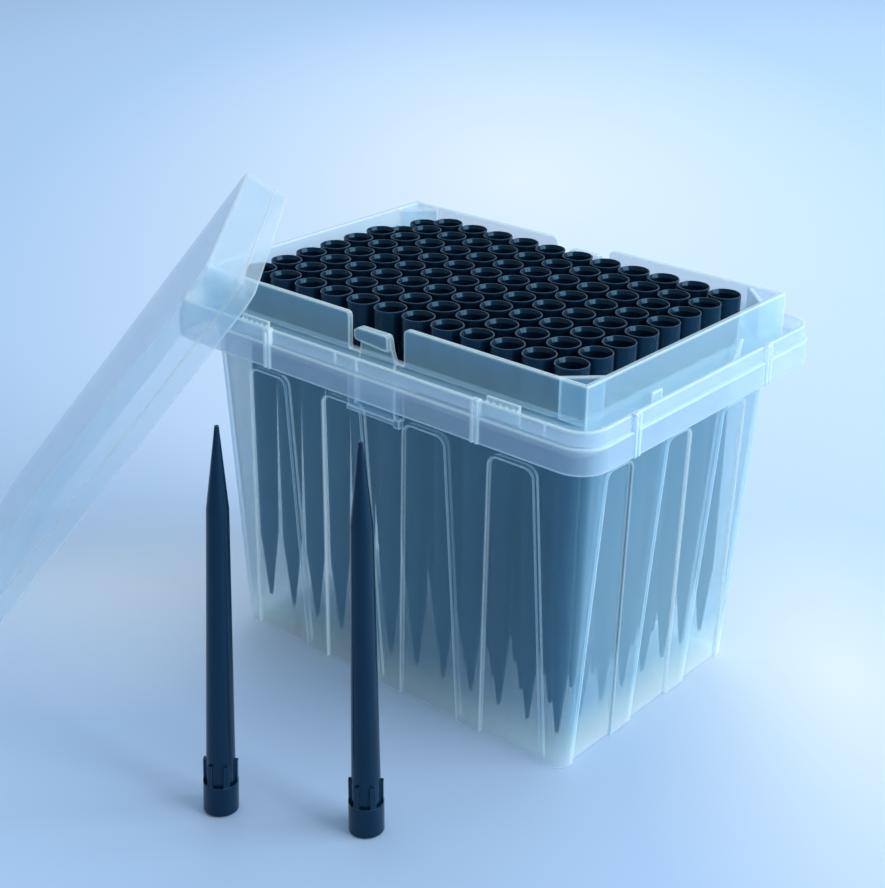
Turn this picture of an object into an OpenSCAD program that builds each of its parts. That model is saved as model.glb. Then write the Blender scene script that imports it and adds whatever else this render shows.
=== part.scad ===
// Box of pipette tips: a tall translucent tub, a rack insert with an 8 by 12 grid of
// holes, black conductive tips, and the deep lid taken off and leaning on the tub.
// Millimetres, Z up. The origin is at the middle of the underside of the tub.

/* [Tips] */
// Length of a tip
tip_len = 95; // [80:0.5:110]
// Height of the collar
collar_h = 7.5; // [5:0.5:10]
// Wall of the collar at the mouth
collar_wall = 0.5; // [0.4:0.05:0.9]
// Length of the fins under the collar
fin_h = 5.4; // [3:0.2:8]
// Width of a fin
fin_w = 1.3; // [0.8:0.1:2]
// How far the fins and the collar stand out from the tube
fin_out = 0.75; // [0.6:0.05:0.9]
// Diameter of the tube under the collar
tube_d = 6.6; // [5.5:0.1:7]
// Diameter of the tube at its shoulder
shoulder_d = 4.95; // [4:0.05:5.4]
// Length of the point below the shoulder
point_len = 19.3; // [14:0.1:26]
// Diameter of the point at its end
point_d = 0.95; // [0.8:0.05:1.4]
// Bore at the end of the point
orifice_d = 0.5; // [0.3:0.05:0.7]
// Wall of the tube
tube_wall = 0.7; // [0.5:0.05:0.9]

/* [Rack] */
// Distance between neighbouring tips
pitch = 9; // [8.7:0.1:11]
// Play of a tip in its hole, each side
hole_play = 0.2; // [0.1:0.05:0.4]
// Thickness of the deck
deck_t = 1.5; // [1:0.1:2.5]
// How much lower the last two tips of the left column stand
low_seat = 2; // [0:0.1:3]
// From the outermost tips to the outside of the end walls
end_room = 11.35; // [9.4:0.05:14]
// From the outermost tips to the outside of the long walls
side_room = 9.85; // [9.4:0.05:12]
// Thickness of the rack's wall
rack_wall = 1.3; // [1:0.1:1.8]
// How far the wall stands above the tips
wall_over_tips = 0.3; // [0:0.1:3]
// Width of the gap in each long wall for the latch
notch_w = 17.6; // [15:0.1:22]
// Leg of the web across each corner
web_leg = 9.2; // [6:0.1:10]
// Width of the latch at its lip
latch_w = 12; // [9:0.1:13]
// How far the latch's top lies below the top of the wall
latch_drop = 2.5; // [1:0.1:4]

/* [Tub] */
// How far the tub's end walls lie inside the rack's at the top
tub_in_end = 1.05; // [0.5:0.05:2]
// How far the tub's long walls lie inside the rack's at the top
tub_in_side = 0.8; // [0.5:0.05:2]
// Radius of the tub's upright corners
tub_r = 4.6; // [3:0.2:8]
// Draft of the end walls, in degrees
end_draft = 3.2; // [2:0.1:4]
// Draft of the long walls, in degrees
side_draft = 2.3; // [1.5:0.1:3.5]
// Thickness of the tub's wall
tub_wall = 1.1; // [0.9:0.1:1.8]
// Thickness of the floor
floor_t = 1.6; // [1:0.1:3]
// Room between the points of the tips and the floor
point_room = 4.9; // [3:0.1:10]
// Play of the rack's tray in the tub's mouth, each side
tray_play = 0.7; // [0.4:0.1:1.2]
// Depth of the panels pressed into the walls
panel_deep = 0.9; // [0.4:0.1:1.4]
// Top of the panels below the skirt
panel_drop = 7; // [4:0.2:20]
// Width of a panel of the long walls at its foot
side_foot = 19.1; // [16:0.1:21]
// Width of a panel of the long walls at its head
side_head = 12.7; // [10:0.1:16]
// Width of a panel of the end walls at its foot
end_foot = 16.4; // [13:0.1:18]
// Width of a panel of the end walls at its head
end_head = 9.7; // [7:0.1:12]
// From the underside's short edges to the nearest panel
side_edge = 6; // [5:0.1:8]
// From the underside's long edges to the nearest panel
end_edge = 4.8; // [4.6:0.1:7]

/* [Flange] */
// How far the flange reaches out past the rack's end walls
flange_end = 6.05; // [5:0.05:8]
// How far the flange reaches out past the rack's long walls
flange_side = 7.35; // [5.5:0.05:9]
// Radius of the flange's corners
flange_r = 7.4; // [5:0.2:10]
// Height of the skirt
skirt_h = 6.1; // [4:0.1:9]
// Height of the rim above the flange
rim_h = 3.7; // [2.5:0.1:6]
// How far the rim is set back from the skirt
rim_back = 0.8; // [0.4:0.1:1.2]
// Thickness of the skirt and the flange's plate
flange_t = 1.2; // [0.9:0.1:1.6]
// Thickness of the rim
rim_t = 0.9; // [0.7:0.1:1.4]
// Height of the grips above the rim
grip_over = 1.2; // [0.6:0.1:2.5]

/* [Lid] */
// Depth of the lid, outside
lid_depth = 13.8; // [12:0.1:24]
// Thickness of the lid's walls and top
lid_wall = 1.2; // [1:0.1:1.6]
// Gap between the closed lid and the rim
lid_gap = 0.6; // [0.3:0.05:0.9]
// Height of the lip round the lid's open edge
lip_h = 4.4; // [3:0.1:7]
// Lean of the lid from the floor, in degrees
lid_lean = 52.8; // [46:0.1:60]
// Turn of the lid about the upright, in degrees
lid_turn = 40.9; // [30:0.1:50]
// Place of the rack's corner across the lid
lid_across = 64.9; // [45:0.1:70]

/* [Loose tips] */
// First loose tip, right of the middle
loose_1_x = 4.4; // [-5:0.1:15]
// First loose tip, in front of the middle
loose_1_y = -98.4; // [-110:0.1:-90]
// Second loose tip, right of the middle
loose_2_x = 34.4; // [25:0.1:45]
// Second loose tip, in front of the middle
loose_2_y = -81.8; // [-100:0.1:-75]
// Lean of the first loose tip to the right, in degrees
loose_1_lean = 1.6; // [-2:0.1:2]
// Lean of the second loose tip to the right, in degrees
loose_2_lean = -0.4; // [-2:0.1:2]

/* [Hidden] */
cols = 12;
rows = 8;
eps = 0.01;
round_n = 48;      // facets of a round corner's full circle
tip_n = 36;        // facets of a tip's circle
seat_gap = 0.3;    // gap where one loose piece leans on another

// Diameters that follow from the tube
collar_d = tube_d + 2 * fin_out;
mouth_d = collar_d - 2 * collar_wall;
hole_d = tube_d + 2 * hole_play;

// Heights that follow from the tips hanging in the rack
mouth_z = floor_t + point_room + tip_len;
deck_top = mouth_z - collar_h - fin_h;
deck_z = deck_top - deck_t;
wall_top = mouth_z + wall_over_tips;
function sunk(i, j) = i == 0 && j >= rows - 2 ? low_seat : 0;
shelf_t = flange_t + 0.3;
ledge_t = 1.5;
shelf_top = deck_top + 1.7;
ledge_top = shelf_top + ledge_t;
skirt_z = shelf_top - skirt_h;
rim_top = shelf_top + rim_h;
notch_z = ledge_top + 0.9;

// Plan sizes: the rack round the tips, the tub under the rack, the flange round both
rack_len = (cols - 1) * pitch + 2 * end_room;
rack_wid = (rows - 1) * pitch + 2 * side_room;
flange_len = rack_len + 2 * flange_end;
flange_wid = rack_wid + 2 * flange_side;
rim_len = flange_len - 2 * rim_back;
rim_wid = flange_wid - 2 * rim_back;
rim_r = flange_r - rim_back;
end_slope = tan(end_draft);
side_slope = tan(side_draft);
top_len = rack_len - 2 * tub_in_end;
top_wid = rack_wid - 2 * tub_in_side;
base_len = top_len - 2 * shelf_top * end_slope;
base_wid = top_wid - 2 * shelf_top * side_slope;
// the tray hangs in the drafted mouth, so it clears the wall at the deck's height
tray_len = base_len + 2 * deck_z * end_slope - 2 * tub_wall - 2 * tray_play;
tray_wid = base_wid + 2 * deck_z * side_slope - 2 * tub_wall - 2 * tray_play;
tray_wall = 1.2;
lid_len = rim_len - 2 * rim_t - 2 * lid_gap;
lid_wid = rim_wid - 2 * rim_t - 2 * lid_gap;
lid_r = rim_r - rim_t - lid_gap;
lip_step = 0.45;

// A rectangle with true round corners, about the middle
module plate(l, w, r) {
    square([l - 2 * r, w], center = true);
    square([l, w - 2 * r], center = true);
    for (sx = [-1, 1], sy = [-1, 1])
        translate([sx * (l / 2 - r), sy * (w / 2 - r)]) circle(r = r, $fn = round_n);
}

module slab(l, w, r, z, h) {
    translate([0, 0, z]) linear_extrude(height = h) plate(l, w, r);
}

module ring(l, w, r, t, z, h) {
    translate([0, 0, z]) linear_extrude(height = h) difference() {
        plate(l, w, r);
        plate(l - 2 * t, w - 2 * t, max(r - t, 0.5));
    }
}

module block(x0, x1, y0, y1, z0, z1) {
    translate([x0, y0, z0]) cube([x1 - x0, y1 - y0, z1 - z0]);
}

// The same feature on the front and, turned half round, on the back
module both_ways() {
    children();
    rotate([0, 0, 180]) children();
}

// ---------------------------------------------------------------- tub

// A drafted body from the floor up; grow is negative for the hollow inside
module drafted(grow, z0, z1, r) {
    hull() {
        slab(base_len + 2 * z0 * end_slope + 2 * grow, base_wid + 2 * z0 * side_slope + 2 * grow,
            r, z0, eps);
        slab(base_len + 2 * z1 * end_slope + 2 * grow, base_wid + 2 * z1 * side_slope + 2 * grow,
            r, z1 - eps, eps);
    }
}

// Outline of a pressed panel on its wall, about its foot's middle: narrower at its head
// and set towards the corner by shift
module panel_outline(foot, head, shift, high, r) {
    t0 = shift - head / 2;
    t1 = shift + head / 2;
    polygon([[-foot / 2, -6], [foot / 2, -6], [t1, high - r], [t1 - r, high - r], [t1 - r, high],
        [t0 + r, high], [t0 + r, high - r], [t0, high - r]]);
    for (x = [t0 + r, t1 - r]) translate([x, high - r]) circle(r = r, $fn = round_n);
}

panel_top = skirt_z - panel_drop;
side_count = 4;
end_count = 3;
side_step = (base_len - 2 * side_edge - side_foot) / (side_count - 1);
end_step = (base_wid - 2 * end_edge - end_foot) / (end_count - 1);
panel_shift = 0.4;
panel_side = 0.35;      // wall at the side of a panel's step

// All pressed panels; grow is the wall at their sides where the hollow goes round them
module panels(grow, deep) {
    both_ways() {
        // long walls
        translate([0, -base_wid / 2, 0]) rotate([90 + side_draft, 0, 0])
            translate([0, 0, -deep]) linear_extrude(height = 12)
                for (k = [0 : side_count - 1])
                    translate([(k - (side_count - 1) / 2) * side_step, 0])
                        panel_outline(side_foot + 2 * grow, side_head + 2 * grow,
                            sign(k - (side_count - 1) / 2) * panel_shift, panel_top + grow, 2.4 + grow);
        // end walls
        rotate([0, 0, 90]) translate([0, -base_len / 2, 0]) rotate([90 + end_draft, 0, 0])
            translate([0, 0, -deep]) linear_extrude(height = 12)
                for (k = [0 : end_count - 1])
                    translate([(k - (end_count - 1) / 2) * end_step, 0])
                        panel_outline(end_foot + 2 * grow, end_head + 2 * grow,
                            sign(k - (end_count - 1) / 2) * panel_shift, panel_top + grow, 2.2 + grow);
    }
}

// Pocket under the skirt that takes the foot of a latch
pocket_w = latch_w + 3.2;
pocket_out = rack_wid / 2 + 2;
pocket_wall = 1.1;
pocket_z = skirt_z - 6;

module pocket() {
    block(-pocket_w / 2, pocket_w / 2, -pocket_out, -top_wid / 2 + 4, pocket_z, shelf_top - eps);
    block(-pocket_w / 2, pocket_w / 2 + 1.2, -pocket_out - 0.4, -pocket_out + 1, pocket_z, pocket_z + 1);
    block(pocket_w / 2 + 0.1, pocket_w / 2 + 1.9, -pocket_out - 0.5, -pocket_out + 1, pocket_z - 0.6, pocket_z + 1.6);
}

module pocket_hollow() {
    block(-pocket_w / 2 + pocket_wall, pocket_w / 2 - pocket_wall, -pocket_out + pocket_wall,
        -pocket_out + pocket_wall + 1.9, pocket_z + pocket_wall, shelf_top + 1);
}

// Upright bracket on the flange's face, from x = 0 to +x, with the skirt's face at y = 0
module bracket() {
    for (x = [0, 1.4]) block(x, x + 0.7, -0.45, rim_back + 0.3, skirt_z, rim_top + 0.3);
    block(0, 2.1, -0.25, rim_back + 0.3, rim_top - 0.5, rim_top + 0.6);
}

// Comb behind the rim, beside the bracket: a thin bar held by upright teeth
module comb() {
    bar = rim_back + rim_t + 0.3;
    block(2.6, 11.8, bar, bar + 0.6, shelf_top - eps, rim_top + grip_over);
    for (x = [2.6, 4.5, 6.3, 8.1, 9.9, 11.2])
        block(x, x + 0.6, rim_back + 0.4, bar + 0.2, shelf_top - eps, rim_top + 0.2);
}

// Snap arms on the end flanges, in the gap between the rack and the rim
arm_out = rack_len / 2 + (flange_end - rim_back - rim_t) / 2;
module snap_arms() {
    block(arm_out - 0.4, arm_out + 0.4, -20.2, -16.2, shelf_top - eps, rim_top + 0.7);
    translate([arm_out + 0.4, 0, 0]) rotate([0, -90, 0]) linear_extrude(height = 0.8)
        polygon([[shelf_top - eps, 13.4], [shelf_top - eps, 16], [rim_top, 17],
            [rim_top + 2.9, 17.9], [rim_top + 2.9, 17.1], [rim_top, 15.6]]);
}

side_ribs = [-8.7, -1.8, 18.5, 53.5];
end_ribs = [-40.2, 2.5, 34];
module flange_details() {
    both_ways() {
        translate([0, -flange_wid / 2, 0]) {
            translate([35.3, 0, 0]) { bracket(); comb(); }
            translate([-28.5, 0, 0]) mirror([1, 0, 0]) { bracket(); comb(); }
            for (x = side_ribs)
                block(x - 0.3, x + 0.3, rim_back + 0.5, rim_back + rim_t + 0.9,
                    shelf_top - eps, rim_top - 0.5);
            // thicker stretch of the rim between a rib and the bracket
            block(18.5, 35.5, rim_back + rim_t - eps, rim_back + rim_t + 0.6, shelf_top - eps, rim_top - 0.9);
        }
        translate([flange_len / 2, 0, 0]) rotate([0, 0, 90]) {
            translate([-31.8, 0, 0]) bracket();
            translate([25.5, 0, 0]) mirror([1, 0, 0]) bracket();
            for (x = end_ribs)
                block(x - 0.3, x + 0.3, rim_back + 0.5, rim_back + rim_t + 0.9,
                    shelf_top - eps, rim_top - 0.5);
        }
        snap_arms();
    }
}

module tub() {
    color("lightsteelblue") {
        difference() {
            union() {
                difference() {
                    drafted(0, 0, shelf_top, tub_r);
                    panels(0, panel_deep);
                }
                both_ways() pocket();
                // flange plate
                slab(flange_len - 1, flange_wid - 1, flange_r - 0.5, shelf_top - shelf_t, shelf_t);
                ring(flange_len, flange_wid, flange_r, flange_t, skirt_z, skirt_h);
                ring(rim_len, rim_wid, rim_r, rim_t, shelf_top - eps, rim_h + eps);
                flange_details();
            }
            // hollow inside, kept clear of the pressed panels by the wall
            difference() {
                drafted(-tub_wall, floor_t, shelf_top + 0.5, tub_r - tub_wall);
                panels(panel_side, panel_deep + tub_wall);
            }
            both_ways() pocket_hollow();
        }
    }
}

// ---------------------------------------------------------------- rack

module latch() {
    yo = -rack_wid / 2 - 0.4;      // outer face of the latch
    t = 1.1;
    z1 = wall_top - latch_drop;
    // foot and neck: a plate that widens downwards
    translate([0, yo + t, 0]) rotate([90, 0, 0]) linear_extrude(height = t)
        polygon([[-latch_w / 2 + 0.8, pocket_z + pocket_wall + 1], [latch_w / 2 - 0.2, pocket_z + pocket_wall + 1],
            [latch_w / 2, ledge_top], [latch_w / 2 + 0.5, notch_z],
            [latch_w / 2 - 0.6, z1 - 3.8], [latch_w / 2 - 1.1, z1 - 0.9], [latch_w / 2 - 1.4, z1 - 0.3],
            [latch_w / 2 - 1.9, z1], [-latch_w / 2 + 1.4, z1], [-latch_w / 2 + 1.4, z1 - 3.8],
            [-latch_w / 2 + 1.1, notch_z], [-latch_w / 2 + 0.8, ledge_top]]);
    // thick lip, with one corner cut off
    translate([0, yo + 0.2, 0]) rotate([90, 0, 0]) linear_extrude(height = 1.2)
        polygon([[-latch_w / 2 + 1.4, z1 - 3.2], [latch_w / 2 - 1.7, z1 - 3.9], [latch_w / 2 - 1.1, z1 - 3.5],
            [latch_w / 2 - 1.2, z1 - 0.9], [latch_w / 2 - 1.4, z1 - 0.3], [latch_w / 2 - 1.9, z1],
            [-latch_w / 2 + 1.3, z1], [-latch_w / 2 + 0.2, z1 - 0.7], [-latch_w / 2 + 0.2, z1 - 2.4],
            [-latch_w / 2 + 0.6, z1 - 3]]);
}

// Under the two tips that stand lower
module low_cups(r, z, h) {
    for (j = [rows - 2, rows - 1]) translate([tip_x(0), tip_y(j), z]) cylinder(r = r, h = h, $fn = tip_n);
}

module rack() {
    color("powderblue") {
        difference() {
            union() {
                // deck and the tray's side
                slab(tray_len, tray_wid, 2.4, deck_z, deck_t);
                ring(tray_len, tray_wid, 2.4, tray_wall, deck_z, ledge_top - deck_z);
                if (low_seat > 0) intersection() {
                    low_cups(collar_d / 2 + 1.1, deck_top - low_seat - 1.2, low_seat + 1.2 - deck_t / 2);
                    slab(tray_len - 1, tray_wid - 1, 2, deck_z - low_seat - 2, low_seat + 4);
                }
                // foot of the wall, which stands on the flange
                difference() {
                    block(-rack_len / 2, rack_len / 2, -rack_wid / 2, rack_wid / 2, shelf_top, ledge_top);
                    slab(tray_len - 2 * tray_wall, tray_wid - 2 * tray_wall, 1.2, shelf_top - 1, ledge_t + 2);
                }
                // upright wall with sharp outer corners
                difference() {
                    block(-rack_len / 2, rack_len / 2, -rack_wid / 2, rack_wid / 2, ledge_top - eps, wall_top);
                    block(-rack_len / 2 + rack_wall, rack_len / 2 - rack_wall, -rack_wid / 2 + rack_wall,
                        rack_wid / 2 - rack_wall, ledge_top - 1, wall_top + 1);
                    both_ways() translate([0, -rack_wid / 2 + 3, 0]) rotate([90, 0, 0])
                        linear_extrude(height = 6)
                            polygon([[-notch_w / 2, notch_z], [notch_w / 2, notch_z],
                                [notch_w / 2, wall_top - 1], [notch_w / 2 + 0.3, wall_top - 0.3],
                                [notch_w / 2 + 1, wall_top], [notch_w / 2 + 1, wall_top + 1],
                                [-notch_w / 2 - 1, wall_top + 1], [-notch_w / 2 - 1, wall_top],
                                [-notch_w / 2 - 0.3, wall_top - 0.3], [-notch_w / 2, wall_top - 1]]);
                }
                // web across each corner
                for (sx = [-1, 1], sy = [-1, 1]) 
                    translate([0, 0, ledge_top - eps]) linear_extrude(height = wall_top - 0.4 - ledge_top)
                        polygon([[sx * (rack_len / 2 - 0.5), sy * (rack_wid / 2 - web_leg)],
                            [sx * (rack_len / 2 - 0.5), sy * (rack_wid / 2 - web_leg - 1.5)],
                            [sx * (rack_len / 2 - web_leg - 1.5), sy * (rack_wid / 2 - 0.5)],
                            [sx * (rack_len / 2 - web_leg), sy * (rack_wid / 2 - 0.5)]]);
                both_ways() latch();
            }
            for (i = [0 : cols - 1], j = [0 : rows - 1])
                translate([tip_x(i), tip_y(j), deck_z - 1 - sunk(i, j)])
                    cylinder(d = hole_d, h = deck_t + 2 + sunk(i, j), $fn = tip_n);
            if (low_seat > 0) low_cups(collar_d / 2 + 0.2, deck_top - low_seat, low_seat + 1);
        }
    }
}

// ---------------------------------------------------------------- lid

module lid_body() {
    wl = lid_len - 2 * lip_step;
    ww = lid_wid - 2 * lip_step;
    wr = lid_r - lip_step;
    edge = 1.1;
    difference() {
        union() {
            // lip round the open edge, then the drafted wall with a rounded top edge
            slab(lid_len, lid_wid, lid_r, -lid_depth, lip_h);
            hull() {
                slab(wl, ww, wr, -lid_depth + lip_h - 1, eps);
                slab(wl - 0.6, ww - 0.6, wr - 0.3, -edge, eps);
                slab(wl - 0.6 - 0.3 * edge, ww - 0.6 - 0.3 * edge, wr - 0.3 - 0.15 * edge, -0.5 * edge, eps);
                slab(wl - 0.6 - edge, ww - 0.6 - edge, wr - 0.3 - 0.5 * edge, -0.14 * edge, eps);
                slab(wl - 0.6 - 2 * edge, ww - 0.6 - 2 * edge, wr - 0.3 - edge, -eps, eps);
            }
        }
        slab(lid_len - 2 * lid_wall, lid_wid - 2 * lid_wall, lid_r - lid_wall, -lid_depth - 1, lip_h - lid_wall * 0.3 + 1);
        hull() {
            slab(wl - 2 * lid_wall, ww - 2 * lid_wall, wr - lid_wall, -lid_depth - 1, eps);
            slab(wl - 0.6 - 2 * lid_wall, ww - 0.6 - 2 * lid_wall, wr - lid_wall - 0.3, -lid_wall - eps, eps);
        }
    }
}

// The lid leans with the inside of its top on the rack's front left corner or on the
// rim's, whichever stands out further, and its lower lip stands on the floor. In the
// upright plane through the lean, x runs outwards from the rack's corner.
function out_of_corner(len_out, wid_out, r) =
    (len_out - r) * cos(lid_turn) + (wid_out - r) * sin(lid_turn) + r;
rim_out = out_of_corner((rim_len - rack_len) / 2, (rim_wid - rack_wid) / 2, rim_r);
lid_inside = lid_depth - lid_wall - seat_gap;
lid_hold = 3;                           // least of the lid above the corner
lean_needed = asin(wall_top / sqrt(pow(lid_len - lid_hold, 2) + pow(lid_inside, 2)))
    - atan(lid_inside / (lid_len - lid_hold));
lean = max(lid_lean, lean_needed);
lid_seat = max(wall_top * cos(lean), rim_out * sin(lean) + rim_top * cos(lean)) + seat_gap;

module lid() {
    color("azure")
        translate([-rack_len / 2, -rack_wid / 2, 0])
            rotate([0, 0, 180 + lid_turn]) rotate([0, lean, 0])
                translate([(lid_seat + lid_wall - lid_depth) / tan(lean) - lid_len / 2,
                    lid_wid / 2 - lid_across, lid_seat + lid_wall])
                    lid_body();
}

// ---------------------------------------------------------------- tips

function tip_x(i) = (i - (cols - 1) / 2) * pitch;
function tip_y(j) = (j - (rows - 1) / 2) * pitch;

// A tip with its mouth at z = 0 and its point down
module tip() {
    cr = collar_d / 2;
    tr = tube_d / 2;
    sr = shoulder_d / 2;
    z_sh = -tip_len + point_len;
    groove = 0.8;
    difference() {
        union() {
            rotate_extrude($fn = tip_n)
                polygon([[0, -tip_len], [point_d / 2, -tip_len], [sr, z_sh], [tr, -collar_h - fin_h],
                    [tr, -collar_h + groove], [cr - 0.35, -collar_h + groove], [cr - 0.35, -collar_h],
                    [cr, -collar_h], [cr, -0.12], [cr - 0.12, 0], [0, 0]]);
            // six fins in line across the tube
            intersection() {
                translate([0, 0, -collar_h - fin_h])
                    cylinder(r = cr - 0.1, h = fin_h + groove + 0.2, $fn = tip_n);
                for (a = [0, 60, 120]) rotate([0, 0, a])
                    translate([-cr, -fin_w / 2, -collar_h - fin_h])
                        cube([2 * cr, fin_w, fin_h + groove + 0.2]);
            }
        }
        // bore: mouth, then the tube, then the point
        rotate_extrude($fn = tip_n)
            polygon([[0, -tip_len - 1], [orifice_d / 2, -tip_len - 1], [orifice_d / 2, -tip_len + 1.5],
                [sr - tube_wall, z_sh], [tr - tube_wall, -collar_h - fin_h], [mouth_d / 2 - 0.25, -collar_h + groove + 1],
                [mouth_d / 2 - 0.2, -1], [mouth_d / 2 + 0.06, -0.3], [mouth_d / 2 + 0.22, 0.01],
                [mouth_d / 2 + 0.22, 1], [0, 1]]);
    }
}

right_way = 40.7;                       // the way the loose tips lean, from +X
fin_turn = 37.7;                        // turn of a loose tip's fins
module tips_column(i) {
    color("midnightblue")
        for (j = [0 : rows - 1]) translate([tip_x(i), tip_y(j), mouth_z - sunk(i, j)]) tip();
}

module loose_tip(x, y, lean_right) {
    color("midnightblue") translate([x, y, collar_d / 2 * abs(sin(lean_right))])
        rotate([0, 0, right_way]) rotate([0, lean_right, 0]) rotate([0, 0, fin_turn - right_way])
            rotate([180, 0, 0]) tip();
}

tub();
rack();
lid();
tips_column(0);  // tips_column_01
tips_column(1);  // tips_column_02
tips_column(2);  // tips_column_03
tips_column(3);  // tips_column_04
tips_column(4);  // tips_column_05
tips_column(5);  // tips_column_06
tips_column(6);  // tips_column_07
tips_column(7);  // tips_column_08
tips_column(8);  // tips_column_09
tips_column(9);  // tips_column_10
tips_column(10);  // tips_column_11
tips_column(11);  // tips_column_12
loose_tip(loose_1_x, loose_1_y, loose_1_lean);  // loose_tip_left
loose_tip(loose_2_x, loose_2_y, loose_2_lean);  // loose_tip_right
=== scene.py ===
"""Box of pipette tips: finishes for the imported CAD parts, and a small studio to show
them in. Lengths are in metres, in the CAD model's own frame."""

import math

import bpy
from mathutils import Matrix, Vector

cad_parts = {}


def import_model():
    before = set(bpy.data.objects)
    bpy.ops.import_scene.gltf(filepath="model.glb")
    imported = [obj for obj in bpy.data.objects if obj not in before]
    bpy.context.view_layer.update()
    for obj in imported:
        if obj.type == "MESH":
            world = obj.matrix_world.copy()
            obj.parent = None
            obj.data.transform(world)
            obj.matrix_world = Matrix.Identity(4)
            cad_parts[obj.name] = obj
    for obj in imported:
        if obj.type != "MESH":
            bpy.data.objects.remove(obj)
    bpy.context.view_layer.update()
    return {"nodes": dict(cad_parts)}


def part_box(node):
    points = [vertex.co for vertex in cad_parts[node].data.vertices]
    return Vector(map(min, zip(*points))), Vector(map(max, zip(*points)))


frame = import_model()

NODES = frame["nodes"]
TIPS = sorted(name for name in NODES if name.startswith("tips_column_"))
TIPS += ["loose_tip_left", "loose_tip_right"]

NEVER = 1.0  # a height above every part
SKIRT_HEIGHT = 0.0127  # from the foot of the tub's skirt to the top of its rim
TUB_TOP = float(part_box("tub")[1][2])
SKIRT_FOOT = TUB_TOP - SKIRT_HEIGHT

# How each plastic takes the mould's marks: grain size, edge width and edge gain.
FROSTED_MARKS = {"Grain Size": 0.0006, "Edge Width": 0.0009, "Edge Gain": 14.0}
BLACK_MARKS = {"Grain Size": 0.0004, "Edge Width": 0.00015, "Edge Gain": 5.0}

# What sets the three clear mouldings apart. A veil is the share of light that the wall
# stops: over a whole face, more along the side, at edges, in the rim and inside.
TUB_PLASTIC = {
    "Tint": (0.22, 0.53, 0.73), "Milk": (0.53, 0.69, 0.76), "Painted Light": (0.60, 0.79, 0.93),
    "Face Veil": 0.27, "Side Veil": 0.8, "Edge Veil": 0.38,
    "Foot": (0.82, 0.96, 0.92), "Foot Top": 0.015,
    "Rim": (0.54, 0.68, 0.79), "Rim From": SKIRT_FOOT, "Rim Veil": 0.22,
    # the tub's inner faces are painted pale and glow: painted light for light scattered through
    # the plastic
    "Inner": (0.86, 0.98, 0.93), "Inner Share": 1.0, "Inner Veil": 0.45,
}
RACK_PLASTIC = {
    "Tint": (0.43, 0.71, 0.89), "Milk": (0.66, 0.80, 0.90), "Painted Light": (0.68, 0.85, 0.98),
    "Face Veil": 0.37, "Side Veil": 0.8, "Edge Veil": 0.32,
}
LID_PLASTIC = {
    "Tint": (0.58, 0.76, 0.88), "Milk": (0.56, 0.72, 0.90), "Painted Light": (0.72, 0.84, 0.95),
    "Face Veil": 0.36, "Side Veil": 0.35, "Edge Veil": 0.30,
    "Foot": (0.58, 0.76, 0.88),
}
CLEAR_IOR = 1.49
PAINTED_GLOW_STRENGTH = 0.18  # strength of the painted glow at edges and on inner faces, which stands in for light led through the wall
SHADOW_CUT = 0.65  # the share of the veil that casts no shadow

BLACK_IOR = 1.45
BLACK_SHEEN = (0.36, 0.74, 1.0)
BLACK_DEEP, BLACK_THIN = (0.002, 0.014, 0.034), (0.003, 0.018, 0.043)
# scuff colour, then a painted highlight colour for the tips' rounded edges and rims
BLACK_SCUFF, BLACK_EDGE_HIGHLIGHT = (0.03, 0.05, 0.08), (0.06, 0.16, 0.27)

BUMP_HEIGHT = 0.00005


# ------------------------------------------------------------------ node helpers
def join(tree, value, socket):
    """Feed a socket from another socket, a number or a colour."""
    if isinstance(value, bpy.types.NodeSocket):
        tree.links.new(value, socket)
    elif isinstance(value, tuple) and socket.type == "RGBA":
        socket.default_value = (*value, 1)
    else:
        socket.default_value = value


def math_node(tree, operation, a, b=None, clamp=False):
    """One sum of sockets or numbers."""
    node = tree.nodes.new("ShaderNodeMath")
    node.operation = operation
    node.use_clamp = clamp
    join(tree, a, node.inputs[0])
    if b is not None:
        join(tree, b, node.inputs[1])
    return node.outputs[0]


def add(tree, a, b, clamp=False):
    return math_node(tree, "ADD", a, b, clamp)


def subtract(tree, a, b):
    return math_node(tree, "SUBTRACT", a, b)


def multiply(tree, a, b):
    return math_node(tree, "MULTIPLY", a, b)


def larger(tree, a, b):
    return math_node(tree, "MAXIMUM", a, b)


def dot_product(tree, a, b):
    node = tree.nodes.new("ShaderNodeVectorMath")
    node.operation = "DOT_PRODUCT"
    join(tree, a, node.inputs[0])
    join(tree, b, node.inputs[1])
    return node.outputs["Value"]


def mix_colour(tree, share, a, b):
    """Colour a going over to colour b as the share goes from 0 to 1."""
    node = tree.nodes.new("ShaderNodeMix")
    node.data_type = "RGBA"
    colours = [socket for socket in node.inputs if socket.type == "RGBA"]
    join(tree, share, node.inputs["Factor"])
    join(tree, a, colours[0])
    join(tree, b, colours[1])
    return next(socket for socket in node.outputs if socket.type == "RGBA")


def object_coordinates(tree):
    return tree.nodes.new("ShaderNodeTexCoord").outputs["Object"]


def true_normal(tree):
    return tree.nodes.new("ShaderNodeNewGeometry").outputs["Normal"]


def noise_node(tree, vector, scale, detail, stretch=None):
    """Noise with this many lumps to the metre; stretch squeezes it along each axis."""
    if stretch:
        place = tree.nodes.new("ShaderNodeMapping")
        place.inputs["Scale"].default_value = stretch
        join(tree, vector, place.inputs["Vector"])
        vector = place.outputs["Vector"]
    noise = tree.nodes.new("ShaderNodeTexNoise")
    noise.inputs["Detail"].default_value = detail
    join(tree, vector, noise.inputs["Vector"])
    join(tree, scale, noise.inputs["Scale"])
    return noise.outputs["Fac"]


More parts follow.
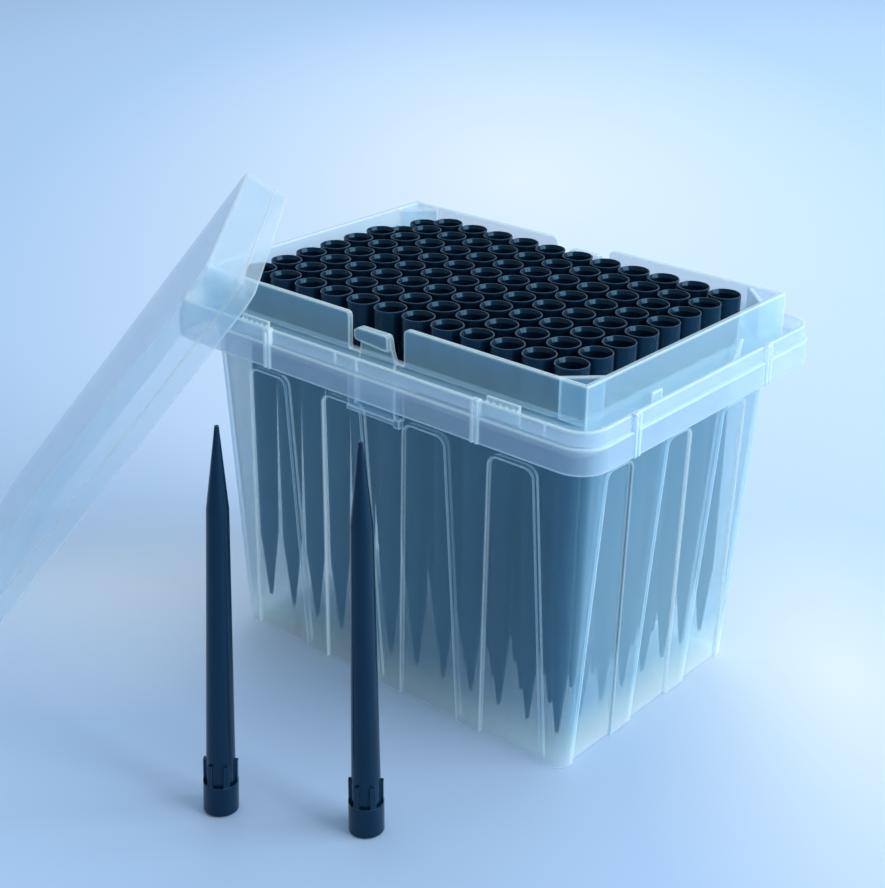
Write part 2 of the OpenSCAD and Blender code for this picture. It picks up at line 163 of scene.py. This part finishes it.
# ------------------------------------------------------------------ shared effects
def new_group(name, inputs, outputs):
    """A shader node group with named sockets: inputs give a starting value each, and
    outputs give their kind."""
    group = bpy.data.node_groups.new(name, "ShaderNodeTree")
    for label, value in inputs.items():
        colour = isinstance(value, tuple)
        kind = "NodeSocketColor" if colour else "NodeSocketFloat"
        socket = group.interface.new_socket(name=label, in_out="INPUT", socket_type=kind)
        socket.default_value = (*value, 1) if colour else value
    for label, kind in outputs.items():
        group.interface.new_socket(name=label, in_out="OUTPUT", socket_type="NodeSocket" + kind)
    given = group.nodes.new("NodeGroupInput").outputs
    result = group.nodes.new("NodeGroupOutput").inputs
    return group, given, result


def place_group(tree, group, values):
    """The group as a node in a material, with the material's own values or sockets."""
    node = tree.nodes.new("ShaderNodeGroup")
    node.node_tree = group
    for label, value in values.items():
        join(tree, value, node.inputs[label])
    return node.outputs


def moulded_surface():
    """What moulding leaves on every piece: fine grain, faint upright flow lines, soft
    cloudy thickness, handling scuffs, and a mask of the rounded edges."""
    group, given, result = new_group(
        "moulded surface",
        {"Grain Size": 0.0006, "Edge Width": 0.0012, "Edge Gain": 5.0},
        {"Cloud": "Float", "Flow": "Float", "Scuff": "Float", "Edge": "Float",
         "Height": "Float", "Rounded": "Vector"},
    )
    coords = object_coordinates(group)
    flow = noise_node(group, coords, 300.0, 1.0, stretch=(1, 1, 0.03))
    grains = math_node(group, "DIVIDE", 1.0, given["Grain Size"])
    grain = noise_node(group, coords, grains, 2.0)
    scratches = noise_node(group, coords, 260.0, 4.0, stretch=(1, 1, 0.25))
    scratched = math_node(group, "GREATER_THAN", scratches, 0.72)

    rounded = group.nodes.new("ShaderNodeBevel")
    rounded.samples = 4
    join(group, given["Edge Width"], rounded.inputs["Radius"])
    straight = dot_product(group, rounded.outputs["Normal"], true_normal(group))
    turn = subtract(group, 1.0, math_node(group, "ABSOLUTE", straight))
    edge = math_node(group, "MULTIPLY", turn, given["Edge Gain"], clamp=True)

    join(group, noise_node(group, coords, 30.0, 2.0), result["Cloud"])
    join(group, flow, result["Flow"])
    join(group, multiply(group, scratched, subtract(group, scratches, 0.6)), result["Scuff"])
    join(group, edge, result["Edge"])
    join(group, add(group, grain, multiply(group, flow, 0.6)), result["Height"])
    join(group, rounded.outputs["Normal"], result["Rounded"])
    return group


def low_down(group, height, top, fade):
    """1 low down, fading to 0 over the given distance below the top."""
    return math_node(group, "DIVIDE", subtract(group, top, height), fade, clamp=True)


def frosted_wall():
    """How a clear moulding veils what is behind it, and the colour of that veil. It is
    denser along the wall, in the thick rim and on the inner faces. Rounded edges and
    inner faces are painted pale and given a painted glow, for light that gathers in them."""
    group, given, result = new_group(
        "frosted wall",
        {"Along": 0.0, "Cloud": 0.5, "Flow": 0.5, "Scuff": 0.0, "Edge": 0.0,
         "Tint": (0.6, 0.8, 0.9), "Milk": (0.6, 0.8, 0.9), "Painted Light": (0.7, 0.85, 0.95),
         "Face Veil": 0.3, "Side Veil": 0.5, "Edge Veil": 0.3,
         "Foot": (1.0, 1.0, 1.0), "Foot Top": 0.01,
         "Rim": (1.0, 1.0, 1.0), "Rim From": NEVER, "Rim Veil": 0.0,
         "Inner": (1.0, 1.0, 1.0), "Inner Share": 0.0, "Inner Veil": 0.0},
        {"Veil": "Float", "Colour": "Color", "Painted Glow": "Color"},
    )
    coords = object_coordinates(group)
    axes = group.nodes.new("ShaderNodeSeparateXYZ")
    join(group, coords, axes.inputs[0])
    height = axes.outputs["Z"]
    in_rim = subtract(group, 1.0, low_down(group, height, given["Rim From"], 0.0005))
    in_foot = low_down(group, height, given["Foot Top"], given["Foot Top"])

    level = group.nodes.new("ShaderNodeVectorMath")
    level.operation = "MULTIPLY"
    join(group, coords, level.inputs[0])
    level.inputs[1].default_value = (1, 1, 0)
    outwards = dot_product(group, level.outputs["Vector"], true_normal(group))
    inside = math_node(group, "LESS_THAN", outwards, -0.001)
    inside = multiply(group, inside, given["Inner Share"])

    veil = add(group, given["Face Veil"], multiply(group, given["Along"], given["Side Veil"]))
    veil = add(group, veil, multiply(group, in_rim, given["Rim Veil"]))
    veil = add(group, veil, multiply(group, inside, given["Inner Veil"]))
    cloud = multiply(group, subtract(group, given["Cloud"], 0.5), 0.06)
    flow = multiply(group, subtract(group, given["Flow"], 0.5), 0.02)
    veil = add(group, veil, add(group, cloud, flow))
    veil = add(group, veil, multiply(group, given["Scuff"], 0.15))
    veil = add(group, veil, multiply(group, given["Edge"], given["Edge Veil"]), clamp=True)
    join(group, veil, result["Veil"])

    colour = mix_colour(group, given["Along"], given["Tint"], given["Milk"])
    colour = mix_colour(group, in_rim, colour, given["Rim"])
    colour = mix_colour(group, in_foot, colour, given["Foot"])
    # inner faces painted pale, as painted light
    colour = mix_colour(group, inside, colour, given["Inner"])
    # rounded edges painted pale, standing in for light that gathers in them
    join(group, mix_colour(group, given["Edge"], colour, given["Painted Light"]), result["Colour"])
    # painted glow: rounded edges and inner faces glow in the pale colour, though no lamp is
    # there
    painted_glow = larger(group, multiply(group, given["Edge"], 0.65), inside)
    join(group, mix_colour(group, painted_glow, (0, 0, 0), given["Painted Light"]), result["Painted Glow"])
    return group


SURFACE = moulded_surface()
WALL = frosted_wall()


# ------------------------------------------------------------------ materials
def new_material(name):
    mat = bpy.data.materials.new(name)
    mat.use_nodes = True
    tree = mat.node_tree
    tree.nodes.clear()
    out = tree.nodes.new("ShaderNodeOutputMaterial")
    skin = tree.nodes.new("ShaderNodeBsdfPrincipled")
    join(tree, skin.outputs["BSDF"], out.inputs["Surface"])
    return mat, tree, skin


def grain_bump(tree, height, skin, strength):
    bump = tree.nodes.new("ShaderNodeBump")
    bump.inputs["Strength"].default_value = strength
    bump.inputs["Distance"].default_value = BUMP_HEIGHT
    join(tree, height, bump.inputs["Height"])
    join(tree, bump.outputs["Normal"], skin.inputs["Normal"])
    return bump


def frosted_plastic(name, finish):
    """Moulded polypropylene: a thin veil over a clear wall. Faces seen from inside the
    wall are clear, and the shadow it casts is only a share of the veil."""
    mat, tree, skin = new_material(name)
    skin.inputs["IOR"].default_value = CLEAR_IOR
    skin.inputs["Subsurface Weight"].default_value = 1.0
    skin.inputs["Subsurface Radius"].default_value = (0.8, 0.9, 1.0)
    skin.inputs["Subsurface Scale"].default_value = 0.002
    skin.inputs["Emission Strength"].default_value = PAINTED_GLOW_STRENGTH
    made = place_group(tree, SURFACE, FROSTED_MARKS)
    layer = tree.nodes.new("ShaderNodeLayerWeight")
    layer.inputs["Blend"].default_value = 0.5
    marks = {label: made[label] for label in ("Cloud", "Flow", "Scuff", "Edge")}
    marks["Along"] = math_node(tree, "POWER", layer.outputs["Facing"], 2.2)
    wall = place_group(tree, WALL, {**marks, **finish})

    facet = tree.nodes.new("ShaderNodeNewGeometry")
    path = tree.nodes.new("ShaderNodeLightPath")
    veil = multiply(tree, wall["Veil"], subtract(tree, 1.0, facet.outputs["Backfacing"]))
    shade = subtract(tree, 1.0, multiply(tree, path.outputs["Is Shadow Ray"], SHADOW_CUT))
    join(tree, multiply(tree, veil, shade), skin.inputs["Alpha"])
    join(tree, wall["Colour"], skin.inputs["Base Color"])
    # the emission is painted glow at edges and on inner faces
    join(tree, wall["Painted Glow"], skin.inputs["Emission Color"])
    join(tree, add(tree, 0.28, multiply(tree, made["Scuff"], 0.3)), skin.inputs["Roughness"])
    bump = grain_bump(tree, made["Height"], skin, 0.05)
    join(tree, made["Rounded"], bump.inputs["Normal"])
    return mat


def black_plastic(name):
    """Carbon-filled polypropylene: near black with a satin sheen and faint flow lines, and a
    painted highlight along its rounded edges.
    """
    mat, tree, skin = new_material(name)
    skin.inputs["IOR"].default_value = BLACK_IOR
    skin.inputs["Specular Tint"].default_value = (*BLACK_SHEEN, 1)
    made = place_group(tree, SURFACE, BLACK_MARKS)
    shade = mix_colour(tree, made["Cloud"], BLACK_DEEP, BLACK_THIN)
    shade = mix_colour(tree, made["Scuff"], shade, BLACK_SCUFF)
    # painted highlight: rounded edges and rims painted lighter
    rim = multiply(tree, made["Edge"], 0.8)
    join(tree, mix_colour(tree, rim, shade, BLACK_EDGE_HIGHLIGHT), skin.inputs["Base Color"])
    join(tree, add(tree, 0.16, multiply(tree, made["Flow"], 0.08)), skin.inputs["Roughness"])
    grain_bump(tree, made["Height"], skin, 0.06)
    return mat


def dress(node, mat):
    mesh = NODES[node].data
    mesh.materials.clear()
    mesh.materials.append(mat)


dress("tub", frosted_plastic("tub plastic", TUB_PLASTIC))
dress("rack", frosted_plastic("rack plastic", RACK_PLASTIC))
dress("lid", frosted_plastic("lid plastic", LID_PLASTIC))
tip_plastic = black_plastic("tip plastic")
for tip in TIPS:
    dress(tip, tip_plastic)


# ------------------------------------------------------------------ stage
FLOOR_HALF = 3.0
FLOOR_DROP = 0.0002  # keeps the floor just clear of the parts that stand on it
POOL_TURN = 130.9  # degrees
PAINTED_LIGHT_POOLS = [  # painted pools of light on the floor: middle, reach and strength
    ((-0.29, 0.38), (0.62, 0.28), 1.0),
    ((0.085, 0.045), (0.14, 0.075), 1.0),
    ((-0.088, -0.046), (0.07, 0.13), 0.9),
]
# floor colours from outside the painted pools of light (0) to their middle (1)
FLOOR_TONES = [(0.0, (0.54, 0.73, 0.98)), (0.5, (0.70, 0.83, 0.98)), (1.0, (0.90, 0.93, 0.99))]


def painted_light_pool(tree, middle, reach, strength):
    """A painted pool of light: 1 at the middle of an oval on the floor, falling to 0 at its
    reach.
    """
    place = tree.nodes.new("ShaderNodeMapping")
    place.vector_type = "TEXTURE"
    place.inputs["Location"].default_value = (*middle, 0)
    place.inputs["Rotation"].default_value = (0, 0, math.radians(POOL_TURN))
    place.inputs["Scale"].default_value = (*reach, 1)
    join(tree, object_coordinates(tree), place.inputs["Vector"])
    fall = tree.nodes.new("ShaderNodeTexGradient")
    fall.gradient_type = "SPHERICAL"
    join(tree, place.outputs["Vector"], fall.inputs["Vector"])
    return multiply(tree, fall.outputs["Fac"], strength)


def floor():
    """A pale blue sheet, with painted pools of light that make it paler behind the box, beside
    it and to its left.
    """
    mesh = bpy.data.meshes.new("floor")
    r = FLOOR_HALF
    mesh.from_pydata([(-r, -r, 0), (r, -r, 0), (r, r, 0), (-r, r, 0)], [], [(0, 1, 2, 3)])
    obj = bpy.data.objects.new("floor", mesh)
    bpy.context.collection.objects.link(obj)
    obj.location.z = -FLOOR_DROP
    mat, tree, skin = new_material("floor")
    skin.inputs["Roughness"].default_value = 0.6
    skin.inputs["Specular IOR Level"].default_value = 0.2
    # painted light: the floor is paler where the pools fall
    behind, beside, left = [painted_light_pool(tree, *pool) for pool in PAINTED_LIGHT_POOLS]
    pale = larger(tree, larger(tree, behind, beside), left)
    ramp = tree.nodes.new("ShaderNodeValToRGB")
    tones = ramp.color_ramp.elements
    tones.new(0.5)
    for tone, (position, colour) in zip(tones, FLOOR_TONES):
        tone.position = position
        tone.color = (*colour, 1)
    join(tree, pale, ramp.inputs["Fac"])
    join(tree, ramp.outputs["Color"], skin.inputs["Base Color"])
    mesh.materials.append(mat)


LIGHT_COLOUR = (0.80, 0.90, 1.0)
LIGHTS = [  # name, place, aim, size and watts
    ("soft box right", (1.0, 0.42, 0.52), (0, 0, 0.05), (1.0, 0.8), 10.5),
    ("strip light right", (1.0, 0.05, 0.30), (0, -0.09, 0.05), (0.3, 0.6), 1.8),
    ("soft box above", (-0.1, 0.35, 1.1), (0, 0, 0.05), (1.0, 1.0), 3),
    ("backdrop light", (-0.38, 0.95, 0.8), (-0.26, 0.75, 0), (1.2, 0.8), 4.5),
]


def area_light(name, place, aim, size, watts):
    data = bpy.data.lights.new(name, "AREA")
    data.shape = "RECTANGLE"
    data.size, data.size_y = size
    data.energy = watts
    data.color = LIGHT_COLOUR
    obj = bpy.data.objects.new(name, data)
    bpy.context.collection.objects.link(obj)
    obj.location = place
    obj.rotation_euler = (Vector(aim) - Vector(place)).to_track_quat("-Z", "Y").to_euler()


def world():
    """Even light from all round."""
    room = bpy.data.worlds.new("studio")
    bpy.context.scene.world = room
    room.use_nodes = True
    air = room.node_tree.nodes["Background"]
    air.inputs["Color"].default_value = (0.76, 0.88, 1.0, 1)
    air.inputs["Strength"].default_value = 0.44


def camera():
    data = bpy.data.cameras.new("camera")
    data.sensor_width = 36
    data.lens = 64.9
    data.shift_x = -0.0011
    data.shift_y = -0.1187
    obj = bpy.data.objects.new("camera", data)
    bpy.context.collection.objects.link(obj)
    obj.location = (0.2403, -0.2970, 0.2301)
    obj.rotation_euler = [math.radians(a) for a in (69.28, -0.60, 40.88)]
    bpy.context.scene.camera = obj


floor()
world()
for light in LIGHTS:
    area_light(*light)
camera()
bpy.context.scene.cycles.transparent_max_bounces = 40
bpy.context.scene.view_settings.view_transform = "Standard"
